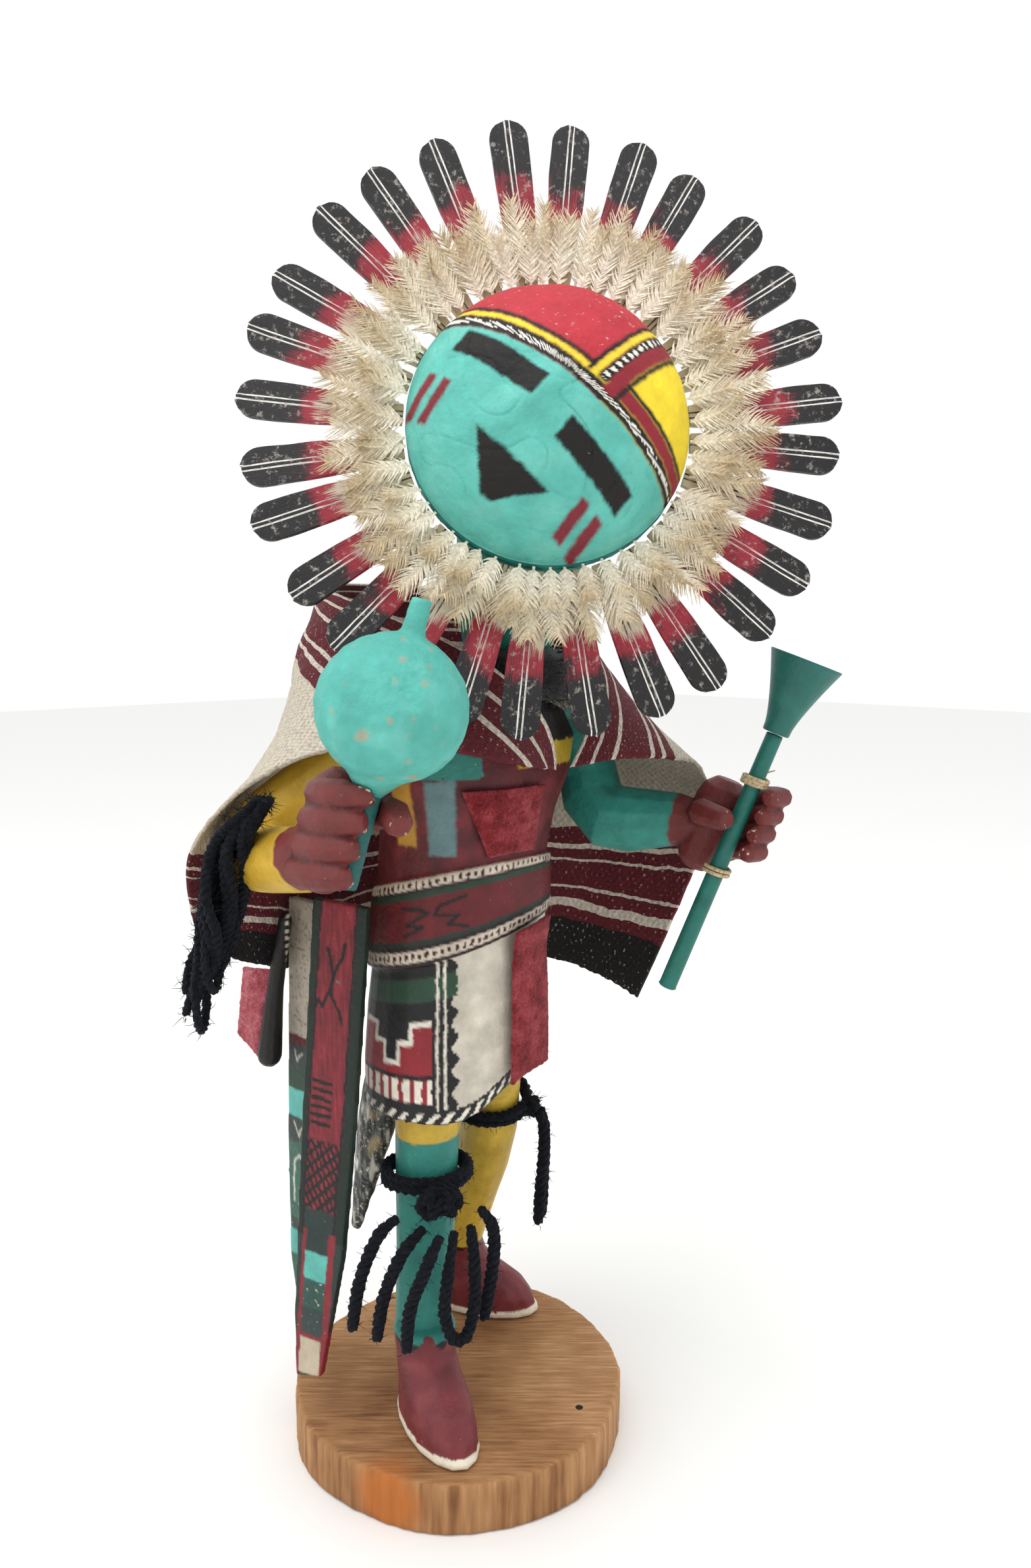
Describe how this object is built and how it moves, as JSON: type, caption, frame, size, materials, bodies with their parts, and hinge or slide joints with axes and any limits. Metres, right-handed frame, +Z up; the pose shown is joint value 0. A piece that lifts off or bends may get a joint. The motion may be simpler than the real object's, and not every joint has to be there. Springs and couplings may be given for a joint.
{
  "type": "carved dancer figure",
  "caption": "Standing carved and painted dancer figure with a feathered sun-disc mask, canvas cape, rattle, flute and yarn ties on a round sawn wood base.",
  "frame": {"origin": "centre of the underside of the round base", "axes": "+Z up; the dancer's chest faces -Y and its right hand is towards -X"},
  "size_m": [0.1533, 0.1416, 0.3553],
  "materials": {
    "sawn_wood": "sawn, unfinished",
    "figure_paint": "satin brushed paint over carved wood",
    "arm_paint": "satin brushed paint over carved wood",
    "turquoise_paint": "matte paint over rough plaster and wood",
    "teal_paint": "satin paint over turned wood",
    "feather_paint": "satin paint over flat wood, dry brushed",
    "sash_paint": "satin paint over flat wood",
    "pelt_paint": "matte dry brushed paint over carved wood",
    "down": "soft down feathers",
    "black_fur": "soft fur",
    "canvas": "coarse painted canvas",
    "red_felt": "matte felt",
    "rose_felt": "matte felt",
    "black_velvet": "short pile",
    "black_yarn": "fuzzy wool yarn",
    "raffia": "matte plant fibre"
  },
  "bodies": {
    "root": {"base": "sawn_wood", "figure": "figure_paint", "rattle": "turquoise_paint", "right_arm": "arm_paint", "left_arm": "arm_paint", "head": "turquoise_paint", "face_dome": "turquoise_paint", "down_ruff": "down", "feather_01": "feather_paint", "feather_02": "feather_paint", "feather_03": "feather_paint", "feather_04": "feather_paint", "feather_05": "feather_paint", "feather_06": "feather_paint", "feather_07": "feather_paint", "feather_08": "feather_paint", "feather_09": "feather_paint", "feather_10": "feather_paint", "feather_11": "feather_paint", "feather_12": "feather_paint", "feather_13": "feather_paint", "feather_14": "feather_paint", "feather_15": "feather_paint", "feather_16": "feather_paint", "feather_17": "feather_paint", "feather_18": "feather_paint", "feather_19": "feather_paint", "feather_20": "feather_paint", "feather_21": "feather_paint", "feather_22": "feather_paint", "feather_23": "feather_paint", "feather_24": "feather_paint", "feather_25": "feather_paint", "feather_26": "feather_paint", "feather_27": "feather_paint", "feather_28": "feather_paint", "neck_fur": "black_fur", "flute_rod": "teal_paint", "flute_bell": "teal_paint", "lashing_upper": "raffia", "lashing_lower": "raffia", "cape": "canvas", "red_sash": "sash_paint", "brocade_sash": "sash_paint", "fox_pelt": "pelt_paint", "felt_bib": "red_felt", "felt_strip": "red_felt", "felt_tail": "rose_felt", "black_band": "black_velvet", "wrist_hank": "black_yarn", "knee_wrap_right": "black_yarn", "knee_wrap_left": "black_yarn", "yarn_right_1": "black_yarn", "yarn_right_2": "black_yarn", "yarn_right_3": "black_yarn", "yarn_right_4": "black_yarn", "yarn_left_1": "black_yarn", "yarn_left_2": "black_yarn", "yarn_loop": "black_yarn"}
  },
  "joints": []
}
